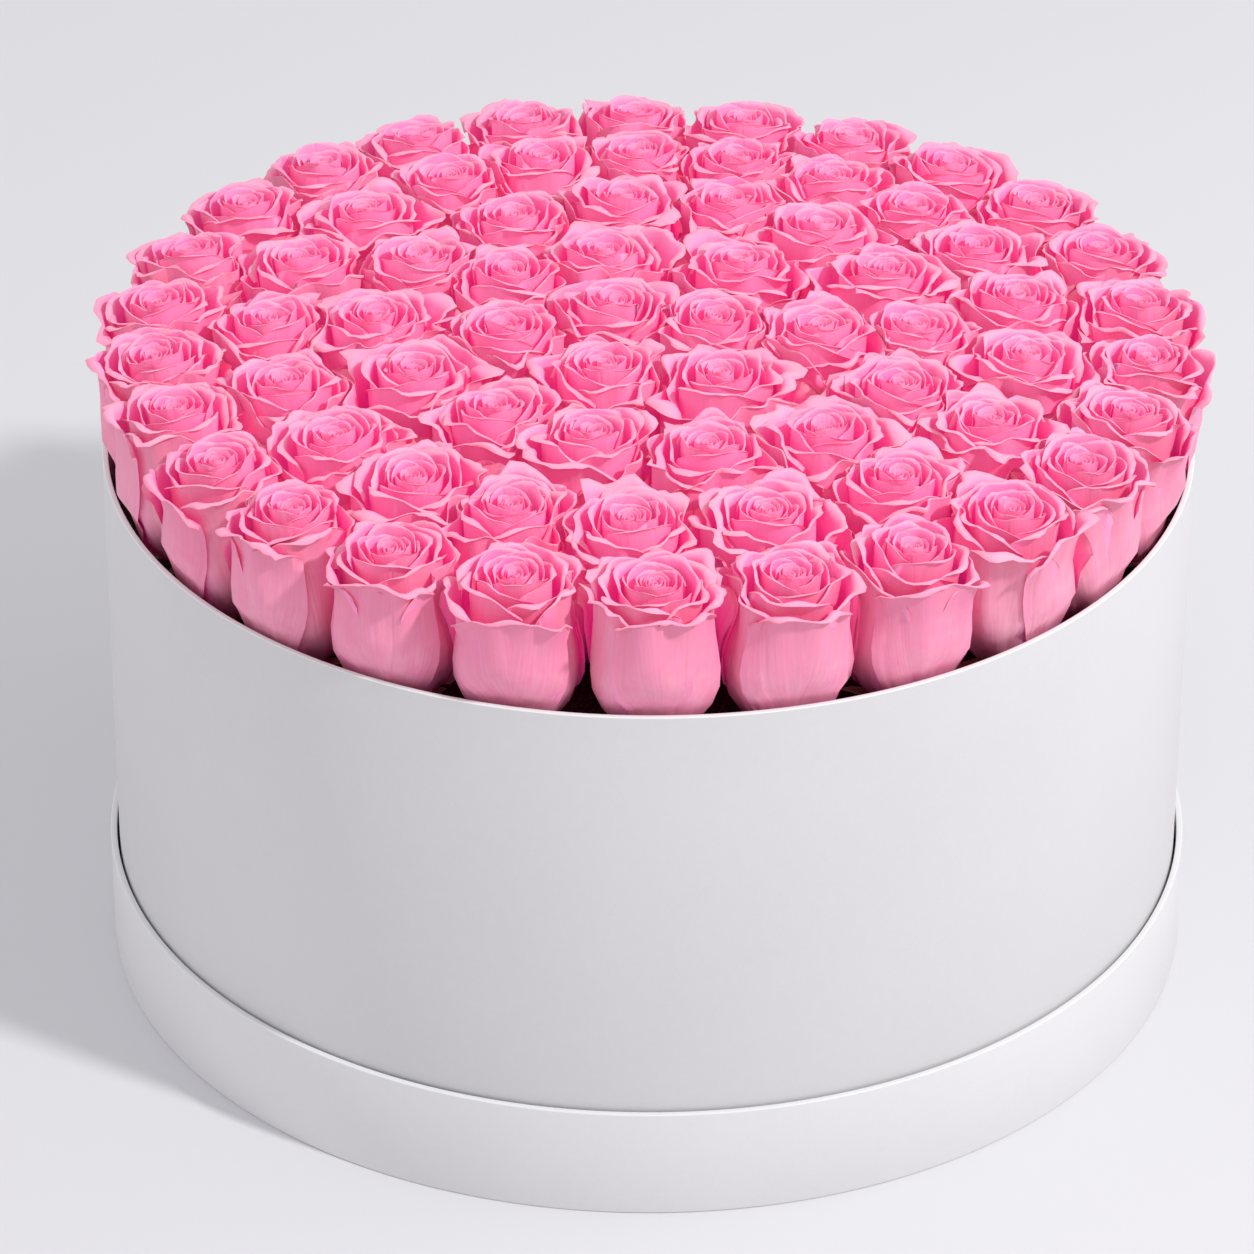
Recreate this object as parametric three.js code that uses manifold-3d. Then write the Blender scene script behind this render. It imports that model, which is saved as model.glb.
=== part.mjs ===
// A rose box: a white round board tub that stands in its own upturned lid, filled with a block of
// dry flower foam, and 69 pink rose heads on short stems that are pushed into the foam.
// Millimetres, +Z up. The origin is the middle of the lid's flat underside.
import * as THREE from "three";
import { mergeVertices } from "three/addons/utils/BufferGeometryUtils.js";
import Module from "manifold-3d";

const wasm = await Module();
wasm.setup();

// The box: the tub's outer radius and rim height set the size of everything else.
const TUB_RADIUS = 220;
const RIM_HEIGHT = 225.7;
const TUB_WALL = 2.4;
const TUB_FLOOR = 3;
const LID_RADIUS = 223.6;
const LID_HEIGHT = 46.8;
const LID_WALL = 2.6;
const CLEARANCE = 0.3;
const BOX_FACETS = 60;
const OVERCUT = 1;

// The foam block fills the tub from its floor to a little below the rim.
const FOAM_BELOW_RIM = 26;

// A rose: its stem, and its head. A head is pressed flat against what stands closer to its axis
// than the pressed radius. Clusters bite into each other across the border between their roses.
const STEM_RADIUS = 3;
const STEM_SIDES = 6;
const STEM_IN_FOAM = 30;
const HEAD_RADIUS = 27;
const PRESSED_RADIUS = 24.3;
const HEAD_EYE = 68;
const PETALS = 3;
const NEIGHBOUR_GAP = 0.3;
const FUSED_BITE = 1.2;
const RIM_GAP = 1.4;

// How much the roses differ by hand: in lean, and in size as a share.
const LEAN_SPREAD = 0.05;
const SIZE_SPREAD = 0.06;

// The outermost petals swell out over the rim by so much for each millimetre of height above it,
// and none reaches further than the overhang radius.
const OVERHANG_SLOPE = 0.7;
const OVERHANG_RADIUS = TUB_RADIUS + 6.5;

// The roses stand in rings round the middle. Each ring has a count, a radius, the direction of
// its first rose in degrees, the height of its eyes above the rim, an outward lean and the size
// of its heads. By hand they don't land evenly: sway shifts them round the ring and swell shifts
// them in and out, each as waves of [times round, size, direction of the crest], in degrees and
// in millimetres.
const RINGS = [
  {
    name: "outer",
    count: 26,
    radius: 198.2,
    start: 7.8,
    eye: 44.9,
    lean: 0.1,
    size: 1.04,
    sway: [[1, 0.8, 48], [2, 1.3, 252], [3, 0.5, 179]],
    swell: [[1, 2.2, 261], [2, 1.3, 302], [3, 1.7, 41]],
  },
  {
    name: "second",
    count: 20,
    radius: 153.5,
    start: 2,
    eye: 46.6,
    lean: 0.05,
    size: 1.2,
    sway: [[1, 5.8, 8], [2, 3, 41], [3, 1.5, 287]],
    swell: [[1, 0.8, 99], [2, 2.4, 213]],
  },
  {
    name: "third",
    count: 14,
    radius: 106.2,
    start: 23.3,
    eye: 48.8,
    lean: 0.03,
    size: 1.32,
    sway: [[1, 2.9, 297], [2, 1.5, 62], [3, 1.2, 137]],
    swell: [[1, 6.1, 58], [2, 4.4, 285], [3, 4, 196]],
  },
  {
    name: "fourth",
    count: 7,
    radius: 59.3,
    start: 45,
    eye: 50.2,
    lean: 0.02,
    size: 1.32,
    sway: [[1, 9.2, 47], [2, 4.5, 185]],
    swell: [[1, 8.5, 75], [2, 8.4, 330]],
  },
  {
    name: "middle",
    count: 2,
    radius: 23,
    start: 339,
    eye: 50.2,
    lean: 0,
    size: 1.32,
    sway: [[1, 24.8, 339]],
    swell: [[1, 3.4, 339]],
  },
];

// The inner roses stand so close that their petals are one mass. They are joined with their
// nearest neighbours, each named by its ring and its place in it.
const CLUSTERS = [
  [["third", 0], ["third", 1]],
  [["third", 2], ["third", 3]],
  [["third", 4], ["fourth", 1]],
  [["third", 5], ["fourth", 2]],
  [["third", 6], ["fourth", 3]],
  [["third", 7], ["third", 8]],
  [["third", 9], ["third", 10]],
  [["third", 11], ["third", 12]],
  [["third", 13], ["fourth", 6]],
  [["fourth", 4], ["fourth", 5]],
  [["fourth", 0], ["middle", 0], ["middle", 1]],
];

const DEGREE = Math.PI / 180;
const FULL_TURN = 2 * Math.PI;

// A repeatable draw from 0 to 1 for one rose and one purpose.
function draw(index, purpose) {
  const value = Math.sin(index * 12.9898 + purpose * 78.233) * 43758.5453;
  return value - Math.floor(value);
}

function waves(list, direction) {
  return list.reduce(
    (sum, [times, size, crest]) => sum + size * Math.cos(times * direction - crest * DEGREE),
    0,
  );
}

// Every rose with its eye, its stem's place, its lean and the turn of its petals.
function rosePlaces() {
  const roses = [];
  for (const ring of RINGS) {
    for (let i = 0; i < ring.count; i += 1) {
      const even = ring.start * DEGREE + (FULL_TURN * i) / ring.count;
      const direction = even + waves(ring.sway, even) * DEGREE;
      const distance = ring.radius + waves(ring.swell, even);
      const index = roses.length;
      const lean = [
        ring.lean * Math.cos(direction) + LEAN_SPREAD * (draw(index, 1) - 0.5),
        ring.lean * Math.sin(direction) + LEAN_SPREAD * (draw(index, 2) - 0.5),
      ];
      const eye = [distance * Math.cos(direction), distance * Math.sin(direction)];
      roses.push({
        ring: ring.name,
        eye,
        lean,
        stem: [eye[0] - lean[0] * HEAD_EYE, eye[1] - lean[1] * HEAD_EYE],
        base: RIM_HEIGHT + ring.eye - HEAD_EYE,
        turn: FULL_TURN * draw(index, 3),
        size: ring.size * (1 + SIZE_SPREAD * (draw(index, 4) - 0.5)),
      });
    }
  }
  return roses;
}

// How far a ray from a point runs before it leaves a rose's own cell: the straight border half
// way to each other rose, less the gap there, and the circle that the whole bouquet keeps within.
// Two roses of one cluster reach past their border instead, so that they grow together.
function reach(rose, from, way, radius) {
  let far = circleReach(from, way, radius);
  for (const { toward, border } of rose.borders) {
    const speed = way[0] * toward[0] + way[1] * toward[1];
    if (speed > 0) {
      const left = border - from[0] * toward[0] - from[1] * toward[1];
      far = Math.min(far, left / speed);
    }
  }
  return far;
}

function circleReach(from, way, radius) {
  const along = from[0] * way[0] + from[1] * way[1];
  const outside = from[0] ** 2 + from[1] ** 2 - radius ** 2;
  return -along + Math.sqrt(along ** 2 - outside);
}

// The widest that the bouquet may be at a height: inside the tub's wall, and less tight above it.
function wallRadius(z) {
  const inside = TUB_RADIUS - TUB_WALL - RIM_GAP;
  const above = Math.max(0, z - RIM_HEIGHT);
  return Math.min(OVERHANG_RADIUS, inside + OVERHANG_SLOPE * above);
}

function setBorders(roses, clusters) {
  for (const rose of roses) {
    const cluster = clusters.find((group) => group.includes(rose));
    rose.borders = roses
      .filter((other) => other !== rose)
      .map((other) => {
        const apart = Math.hypot(other.eye[0] - rose.eye[0], other.eye[1] - rose.eye[1]);
        const toward = [
          (other.eye[0] - rose.eye[0]) / apart,
          (other.eye[1] - rose.eye[1]) / apart,
        ];
        const step = cluster.includes(other) ? -FUSED_BITE : NEIGHBOUR_GAP / 2;
        const middle = rose.eye[0] * toward[0] + rose.eye[1] * toward[1] + apart / 2;
        return { toward, border: middle - step };
      });
  }
}

// One row of a rose head, from its outside to its eye: a number of points round the head at a
// radius and a height. In each whorl the petals overlap like a pinwheel, so a petal starts
// outside the one before it and ends inside the next, and its edge is arched.
const HEAD_ROWS = [
  { points: 12, radius: 17.2, height: 8, fan: 0, arch: 0, shift: 0 },
  { points: 12, radius: 25.4, height: 24, fan: 0, arch: 0, shift: 0 },
  { points: 12, radius: 27, height: 54.5, fan: 0.08, arch: 5, shift: 0 },
  { points: 12, radius: 20.6, height: 47, fan: 0.05, arch: 0, shift: 0 },
  { points: 12, radius: 19.2, height: 62, fan: 0.09, arch: 4, shift: 2 },
  { points: 12, radius: 14.4, height: 54, fan: 0.05, arch: 0, shift: 2 },
  { points: 6, radius: 12.6, height: 67.5, fan: 0.1, arch: 0, shift: 0 },
  { points: 6, radius: 8.6, height: 59, fan: 0, arch: 0, shift: 0 },
  { points: 6, radius: 5.8, height: 68.8, fan: 0.12, arch: 0, shift: 1 },
];
const EYE_DEPTH = 4;

// Points of one row in the rose's own frame, as [way round, radius, height].
function headRow(row, rose) {
  const perPetal = row.points / PETALS;
  return Array.from({ length: row.points }, (_, i) => {
    const along = ((i + row.shift) % perPetal) / (perPetal - 1);
    return [
      rose.turn + (FULL_TURN * i) / row.points,
      row.radius * (1 + row.fan * (1 - 2 * along)),
      row.height + row.arch * Math.sin(Math.PI * along),
    ];
  });
}

// A point of the head at its real place: leant, and squeezed towards the axis where a neighbour
// stands close, or opened where there is room. The squeeze fades towards the eye, so the layers of
// one direction keep their order and the eye stays round.
function placeOnHead(rose, [way, radius, height]) {
  const out = [Math.cos(way), Math.sin(way)];
  const room = reach(rose, rose.eye, out, OVERHANG_RADIUS);
  const squeeze = Math.min(rose.size, room / PRESSED_RADIUS);
  const free = radius * (1 + ((squeeze - 1) * radius) / HEAD_RADIUS);
  const axis = [rose.stem[0] + rose.lean[0] * height, rose.stem[1] + rose.lean[1] * height];
  const tilt = (rose.lean[0] * out[0] + rose.lean[1] * out[1]) * free;
  const z = rose.base + height - tilt;
  const distance = Math.min(free, reach(rose, axis, out, wallRadius(z)));
  return [axis[0] + distance * out[0], axis[1] + distance * out[1], z];
}

// A closed skin over rows of points, from a bottom row to the eye.
function skinOver(rows, eye) {
  const positions = [];
  const starts = [];
  for (const row of rows) {
    starts.push(positions.length);
    positions.push(...row);
  }
  const faces = [];
  for (let i = 1; i + 1 < rows[0].length; i += 1) faces.push([0, i + 1, i]);
  for (let k = 0; k + 1 < rows.length; k += 1) {
    stitch(faces, starts[k], rows[k].length, starts[k + 1], rows[k + 1].length);
  }
  const last = starts.at(-1);
  const count = rows.at(-1).length;
  for (let i = 0; i < count; i += 1) {
    faces.push([last + i, last + ((i + 1) % count), positions.length]);
  }
  positions.push(eye);
  return geometryOf(positions.flat(), faces.flat());
}

// Two neighbouring rows, where the lower or the upper one may have twice the points.
function stitch(faces, low, lowCount, high, highCount) {
  const count = Math.min(lowCount, highCount);
  const lowStep = lowCount / count;
  const highStep = highCount / count;
  for (let i = 0; i < count; i += 1) {
    const a = low + i * lowStep;
    const b = low + ((i + 1) % count) * lowStep;
    const c = high + i * highStep;
    const d = high + ((i + 1) % count) * highStep;
    if (lowStep === 2) {
      faces.push([a, a + 1, c], [a + 1, d, c], [a + 1, b, d]);
    } else if (highStep === 2) {
      faces.push([a, c + 1, c], [a, b, c + 1], [b, d, c + 1]);
    } else {
      faces.push([a, b, d], [a, d, c]);
    }
  }
}

function geometryOf(positions, indices) {
  const geometry = new THREE.BufferGeometry();
  geometry.setAttribute("position", new THREE.Float32BufferAttribute(positions, 3));
  geometry.setIndex(indices);
  return geometry;
}

// A rose head with its stem, as one skin.
function roseGeometry(rose) {
  const foot = RIM_HEIGHT - FOAM_BELOW_RIM - STEM_IN_FOAM;
  const stemRow = (z) =>
    Array.from({ length: STEM_SIDES }, (_, i) => {
      const way = rose.turn + (FULL_TURN * i) / STEM_SIDES;
      return [
        rose.stem[0] + STEM_RADIUS * Math.cos(way),
        rose.stem[1] + STEM_RADIUS * Math.sin(way),
        z,
      ];
    });
  const rows = [stemRow(foot), stemRow(rose.base)];
  for (const row of HEAD_ROWS) {
    rows.push(headRow(row, rose).map((point) => placeOnHead(rose, point)));
  }
  const eye = placeOnHead(rose, [0, 0, HEAD_EYE - EYE_DEPTH]);
  return skinOver(rows, eye);
}

function solidFrom(geometry) {
  const bare = geometry.clone();
  bare.deleteAttribute("normal");
  bare.deleteAttribute("uv");
  const merged = mergeVertices(bare, 1e-4);
  return new wasm.Manifold(
    new wasm.Mesh({
      numProp: 3,
      vertProperties: merged.attributes.position.array,
      triVerts: new Uint32Array(merged.index.array),
    }),
  );
}

function geometryFrom(solid) {
  const mesh = solid.getMesh();
  return geometryOf(Array.from(mesh.vertProperties), Array.from(mesh.triVerts));
}

// A straight-walled cup of board with a flat floor.
function cupGeometry(radius, height, wall, floor) {
  const profile = [
    [0, 0],
    [radius, 0],
    [radius, height],
    [radius - wall, height],
    [radius - wall, floor],
    [0, floor],
  ];
  const points = profile.map(([x, y]) => new THREE.Vector2(x, y));
  return new THREE.LatheGeometry(points, BOX_FACETS).rotateX(Math.PI / 2);
}

// The foam block, with one blind hole for each stem.
function foamGeometry(roses, bottom) {
  const height = RIM_HEIGHT - FOAM_BELOW_RIM - bottom;
  const radius = TUB_RADIUS - TUB_WALL - CLEARANCE;
  const block = new THREE.CylinderGeometry(radius, radius, height, BOX_FACETS)
    .rotateX(Math.PI / 2)
    .rotateZ(Math.PI / 2)
    .translate(0, 0, bottom + height / 2);
  let foam = solidFrom(block);
  const depth = STEM_IN_FOAM + CLEARANCE;
  const bore = STEM_RADIUS + CLEARANCE / Math.cos(Math.PI / STEM_SIDES);
  for (const rose of roses) {
    const hole = new THREE.CylinderGeometry(bore, bore, depth + OVERCUT, STEM_SIDES)
      .rotateX(Math.PI / 2)
      .rotateZ(Math.PI / 2 + rose.turn)
      .translate(rose.stem[0], rose.stem[1], bottom + height + (OVERCUT - depth) / 2);
    foam = foam.subtract(solidFrom(hole));
  }
  return geometryFrom(foam);
}

// Every rose by itself, or with the close neighbours that its petals have grown into.
function roseClusters(roses) {
  const at = ([ring, place]) => roses.filter((rose) => rose.ring === ring)[place];
  const clusters = CLUSTERS.map((members) => members.map(at));
  const inCluster = new Set(clusters.flat());
  const single = roses.filter((rose) => !inCluster.has(rose));
  return [...single.map((rose) => [rose]), ...clusters];
}

const material = (color, roughness) =>
  new THREE.MeshStandardMaterial({ color, roughness, metalness: 0 });
const whiteBoard = material(0xe4e3e8, 0.45);
const darkFoam = material(0x2c1c14, 0.95);
const pinkPetal = material(0xf978ae, 0.55);

function named(name, geometry, finish) {
  const mesh = new THREE.Mesh(geometry, finish);
  mesh.name = name;
  return mesh;
}

const roseBox = new THREE.Group();

const lid = cupGeometry(LID_RADIUS, LID_HEIGHT, LID_WALL, LID_WALL);
roseBox.add(named("lid_tray", lid, whiteBoard));

const tubBottom = LID_WALL + CLEARANCE;
const tub = cupGeometry(TUB_RADIUS, RIM_HEIGHT - tubBottom, TUB_WALL, TUB_FLOOR);
const tubMesh = named("tub", tub, whiteBoard);
tubMesh.position.z = tubBottom;
roseBox.add(tubMesh);

const roses = rosePlaces();
const clusters = roseClusters(roses);
setBorders(roses, clusters);

const foamBottom = tubBottom + TUB_FLOOR + CLEARANCE;
roseBox.add(named("foam_block", foamGeometry(roses, foamBottom), darkFoam));

const counts = {};
for (const cluster of clusters) {
  const label = cluster.length === 1 ? `rose_${cluster[0].ring}` : "rose_cluster";
  counts[label] = (counts[label] ?? 0) + 1;
  const number = String(counts[label]).padStart(2, "0");
  const solids = cluster.map((rose) => solidFrom(roseGeometry(rose)));
  const fused = solids.reduce((sum, solid) => sum.add(solid));
  roseBox.add(named(`${label}_${number}`, geometryFrom(fused), pinkPetal));
}

export default roseBox;
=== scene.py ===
import math

import bmesh
import bpy
import numpy as np
from mathutils import Matrix


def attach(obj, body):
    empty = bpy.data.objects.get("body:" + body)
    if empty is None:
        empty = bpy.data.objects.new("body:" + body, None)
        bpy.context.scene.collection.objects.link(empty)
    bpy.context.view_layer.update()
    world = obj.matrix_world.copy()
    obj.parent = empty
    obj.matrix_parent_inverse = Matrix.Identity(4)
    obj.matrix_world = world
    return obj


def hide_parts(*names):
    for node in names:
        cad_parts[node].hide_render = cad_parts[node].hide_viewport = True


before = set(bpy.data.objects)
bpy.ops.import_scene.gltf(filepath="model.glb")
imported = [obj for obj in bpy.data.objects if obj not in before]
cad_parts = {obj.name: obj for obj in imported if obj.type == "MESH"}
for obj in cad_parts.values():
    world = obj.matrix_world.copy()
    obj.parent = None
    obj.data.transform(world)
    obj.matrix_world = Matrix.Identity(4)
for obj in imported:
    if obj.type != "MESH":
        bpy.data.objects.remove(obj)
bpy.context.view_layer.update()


# The lid tray is the box's own lid, turned over under the tub: a low round tray of grey board,
# wrapped in white paper that is folded over the rim and glued down in a lap at the back.
MM = 0.001
LID_RADIUS = 223.6 * MM
LID_HEIGHT = 46.8 * MM
LID_WALL = 2.6 * MM
BOARD_SIDES = 240
FOLD_STEPS = 3
RIM_FOLD = 0.45 * MM
FOOT_FOLD = 0.7 * MM
LAP_FACES = 3
PAPER_THICKNESS = 0.2 * MM
FACING = 0.9
NEAR = 0.01 * MM
SMOOTH_ANGLE = math.radians(40)


def select_parts(shape, kind, picked):
    """In edit mode, selects only the faces or edges of a shape that picked says yes to."""
    bpy.ops.mesh.select_mode(type=kind)
    bpy.ops.mesh.select_all(action="DESELECT")
    mesh = bmesh.from_edit_mesh(shape.data)
    for part in mesh.faces if kind == "FACE" else mesh.edges:
        part.select_set(picked(part))
    mesh.select_flush_mode()


def level_ring(edge, z):
    """Whether an edge runs round the cup at height z."""
    low, high = edge.verts
    level = abs(low.co.z - z) < NEAR and abs(high.co.z - z) < NEAR
    return level and abs(low.co.xy.length - high.co.xy.length) < NEAR


def board_cup(name, radius, bottom, top, wall, floor):
    """A cup of paper-wrapped board: a cylinder whose top is inset by the wall and sunk to the floor.
    Its rim and foot are then folded round, and the paper's lap is raised at the back."""
    bpy.ops.object.select_all(action="DESELECT")
    bpy.ops.mesh.primitive_cylinder_add(
        vertices=BOARD_SIDES, radius=radius, depth=top - bottom, location=(0, 0, (top + bottom) / 2)
    )
    cup = bpy.context.object
    cup.name = name
    bpy.ops.object.transform_apply()
    bpy.ops.object.mode_set(mode="EDIT")
    select_parts(cup, "FACE", lambda face: face.normal.z > FACING)
    bpy.ops.mesh.inset(thickness=wall)
    sink = (0, 0, bottom + floor - top)
    bpy.ops.mesh.extrude_region_move(TRANSFORM_OT_translate={"value": sink})
    for height, fold in ((top, RIM_FOLD), (bottom, FOOT_FOLD)):
        select_parts(cup, "EDGE", lambda edge: level_ring(edge, height))
        bpy.ops.mesh.bevel(offset=fold, segments=FOLD_STEPS, affect="EDGES")
    lap = math.pi * (LAP_FACES + 0.5) / BOARD_SIDES

    def in_lap(face):
        spot = face.calc_center_median()
        outside = face.normal.xy.dot(spot.xy) > FACING * spot.xy.length
        return outside and abs(math.atan2(spot.x, spot.y)) < lap

    select_parts(cup, "FACE", in_lap)
    thicken = {"value": PAPER_THICKNESS}
    bpy.ops.mesh.extrude_region_shrink_fatten(TRANSFORM_OT_shrink_fatten=thicken)
    bpy.ops.object.mode_set(mode="OBJECT")
    bpy.ops.object.shade_smooth_by_angle(angle=SMOOTH_ANGLE)
    # Near the top of the fold the paper is marked for a painted highlight, where the lit rim looks
    # whiter.
    rim_highlight = cup.data.attributes.new("rim", "FLOAT", "POINT")
    for vertex, mark in zip(cup.data.vertices, rim_highlight.data):
        mark.value = max(0, 1 - (top - vertex.co.z) / RIM_FOLD)
    return cup


class Wire:
    """An output of a shader node. Arithmetic on it adds Math nodes, and node() adds any other."""

    def __init__(self, tree, output=None):
        self.tree = tree
        self.output = output

    def node(self, kind, settings, sockets, output=0):
        made = self.tree.nodes.new(kind)
        for name, value in settings.items():
            setattr(made, name, value)
        for name, value in sockets.items():
            if isinstance(value, Wire):
                self.tree.links.new(value.output, made.inputs[name])
            else:
                made.inputs[name].default_value = value
        outputs = made.outputs
        return Wire(self.tree, outputs[output] if outputs else None)

    def math(self, operation, *values):
        return self.node("ShaderNodeMath", {"operation": operation}, dict(enumerate(values)))

    def size(self):
        """How far the value is from 0."""
        return self.math("ABSOLUTE", self)

    def __add__(self, other):
        return self.math("ADD", self, other)

    def __radd__(self, other):
        return self.math("ADD", other, self)

    def __sub__(self, other):
        return self.math("SUBTRACT", self, other)

    def __rsub__(self, other):
        return self.math("SUBTRACT", other, self)

    def __mul__(self, other):
        return self.math("MULTIPLY", self, other)

    def __rmul__(self, other):
        return self.math("MULTIPLY", other, self)

    def ease(self, low, high):
        """0 below low, 1 above high, and smooth between."""
        bounds = {"Value": self, "From Min": low, "From Max": high}
        return self.node("ShaderNodeMapRange", {"interpolation_type": "SMOOTHSTEP"}, bounds)

    def blend(self, one, other):
        """The colour one where this value is 0, other where it is 1, and mixed between."""
        sockets = {"Factor": self, 6: one, 7: other}
        return self.node("ShaderNodeMix", {"data_type": "RGBA"}, sockets, output=2)

    def noise(self, scale, detail, place):
        settings = {"noise_dimensions": "3D"}
        sockets = {"Vector": place, "Scale": scale, "Detail": detail}
        return self.node("ShaderNodeTexNoise", settings, sockets)

    def named(self, attribute):
        """A value that the mesh holds at each of its points."""
        return self.node("ShaderNodeAttribute", {"attribute_name": attribute}, {}, output="Fac")


def new_finish(name):
    """A material with no nodes yet, and the wire that its nodes are added from."""
    finish = bpy.data.materials.new(name)
    finish.use_nodes = True
    finish.node_tree.nodes.clear()
    return finish, Wire(finish.node_tree)


def surface(start, **sockets):
    """The Principled shader of a finish, with what its sockets are given."""
    named = {name.replace("_", " "): value for name, value in sockets.items()}
    return start.node("ShaderNodeBsdfPrincipled", {}, named)


def relief(start, strength, depth, height):
    """A normal for small hills and hollows that stand up to depth apart."""
    return start.node("ShaderNodeBump", {}, {"Strength": strength, "Distance": depth, "Height": height})


def close(start, shader):
    """Joins a shader to the output of its finish."""
    start.node("ShaderNodeOutputMaterial", {}, {"Surface": shader})


PAPER_WHITE = (0.63, 0.62, 0.63, 1)
PAPER_SHADE = (0.6, 0.59, 0.6, 1)
LID_PAPER_GAIN = 1.1
# The rim colours are painted highlights, whiter than the paper where the folded rim catches the lamp.
LID_RIM_HIGHLIGHT = (0.72, 0.725, 0.73, 1)
PAPER_CLOUD_SCALE = 9
PAPER_GRAIN_SCALE = 1300
PAPER_FIBRE_SCALE = 260
PAPER_BUMP = 0.22
PAPER_GRAIN_DEPTH = 0.1 * MM
PAPER_ROUGHNESS = 0.42
PAPER_ROUGHNESS_SPREAD = 0.16
PAPER_GLOSS = 0.4


def white_paper(name, gain, rim):
    """Smooth uncoated paper with a faint cloudy tone, short fibres and a fine grain. It is stretched
    over the rim, where its colour is painted whiter, a painted highlight of the lit fold. Gain is how
    much whiter one sheet is."""
    finish, start = new_finish(name)
    shade, white = [(*(gain * part for part in tone[:3]), 1) for tone in (PAPER_SHADE, PAPER_WHITE)]
    place = start.node("ShaderNodeTexCoord", {}, {}, output="Object")
    cloud = start.noise(PAPER_CLOUD_SCALE, 3, place)
    fibre = start.noise(PAPER_FIBRE_SCALE, 2, place)
    grain = start.noise(PAPER_GRAIN_SCALE, 2, place)
    tone = (0.5 * cloud + 0.2 * fibre + 0.3 * grain).ease(0.3, 0.7)
    # Towards the top of the fold the colour turns to the rim's painted highlight.
    colour = start.named("rim").ease(0, 0.8).blend(tone.blend(shade, white), rim)
    shader = surface(
        start,
        Base_Color=colour,
        Roughness=PAPER_ROUGHNESS + PAPER_ROUGHNESS_SPREAD * fibre,
        Normal=relief(start, PAPER_BUMP, PAPER_GRAIN_DEPTH, grain + 0.6 * fibre),
        Specular_IOR_Level=PAPER_GLOSS,
    )
    close(start, shader)
    return finish


def place_board(cup, paper, node):
    """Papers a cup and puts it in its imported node's place."""
    cup.data.materials.append(paper)
    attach(cup, "root")
    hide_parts(node)


lid_tray = board_cup("lid_tray_paper", LID_RADIUS, 0, LID_HEIGHT, LID_WALL, LID_WALL)
place_board(lid_tray, white_paper("lid_paper", LID_PAPER_GAIN, LID_RIM_HIGHLIGHT), "lid_tray")


# The tub is a taller cup of the same grey board in the same white paper, with its lap at the back
# too. It stands loose in the lid tray, with a millimetre of room all round.
TUB_RADIUS = 220 * MM
RIM_HEIGHT = 225.7 * MM
TUB_WALL = 2.4 * MM
TUB_FLOOR = 3 * MM
# The tub's rim colour is a painted highlight, tinted green against the pink light that the roses throw
# on it.
TUB_RIM_HIGHLIGHT = (0.75, 0.825, 0.81, 1)
CLEARANCE = 0.3 * MM
tub_bottom = LID_WALL + CLEARANCE
tub = board_cup("tub_paper", TUB_RADIUS, tub_bottom, RIM_HEIGHT, TUB_WALL, TUB_FLOOR)
place_board(tub, white_paper("tub_paper", 1, TUB_RIM_HIGHLIGHT), "tub")


# The foam block is dry flower foam, a brittle dark brown crumb that fills the tub almost to its rim.
# It is cut round, pressed in and pierced where each stem goes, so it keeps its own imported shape.
FOAM_DARK_AND_PIT_SHADE = (0.012, 0.008, 0.006, 1)
FOAM_LIGHT = (0.11, 0.075, 0.05, 1)
FOAM_CELL_SCALE = 700
FOAM_CLOD_SCALE = 90
FOAM_BUMP = 0.9
FOAM_CELL_DEPTH = 0.8 * MM
FOAM_ROUGHNESS = 0.95


def dry_foam():
    """Open cells of crumbled foam, darker in the pits, where the colour is a painted shade, and lighter
    on the raised crumbs.
    """
    finish, start = new_finish("dry_foam")
    place = start.node("ShaderNodeTexCoord", {}, {}, output="Object")
    cells = start.node(
        "ShaderNodeTexVoronoi", {}, {"Vector": place, "Scale": FOAM_CELL_SCALE}, output="Distance"
    )
    clods = start.noise(FOAM_CLOD_SCALE, 4, place)
    # The tone follows the bump's own cells and clods, so the hollows take a painted shade.
    tone = (0.5 * cells + 0.6 * clods).ease(0.25, 0.85)
    colour = tone.blend(FOAM_DARK_AND_PIT_SHADE, FOAM_LIGHT)
    roughness = FOAM_ROUGHNESS - 0.1 * clods
    bump = relief(start, FOAM_BUMP, FOAM_CELL_DEPTH, cells + clods)
    close(start, surface(start, Base_Color=colour, Roughness=roughness, Normal=bump))
    return finish


FOAM_BELOW_RIM = 26 * MM
foam_top = RIM_HEIGHT - FOAM_BELOW_RIM
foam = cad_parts["foam_block"]
foam.data.materials.clear()
foam.data.materials.append(dry_foam())


# The roses stand in rings round the middle, each pushed into the foam by hand, at the same 69 places
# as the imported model's. Their cups keep farther from the wall than its plain solids do, and their
# open lips hang out over it.
DEGREE = math.pi / 180
FULL_TURN = 2 * math.pi
HEAD_EYE = 68 * MM
HEAD_RADIUS = 27 * MM
PRESSED_RADIUS = 24.3 * MM
NEIGHBOUR_GAP = 0.3 * MM
RIM_GAP = 3.6 * MM
OVERHANG_SLOPE = 0.7
OVERHANG_RADIUS = TUB_RADIUS + 6.5 * MM
LEAN_SPREAD = 0.05
SIZE_SPREAD = 0.06

# What each of a rose's draws decides.
LEAN_X = 1
LEAN_Y = 2
HEAD_SIZE = 4
STEM_TURN = 6
LAP_RANK = 9

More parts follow.
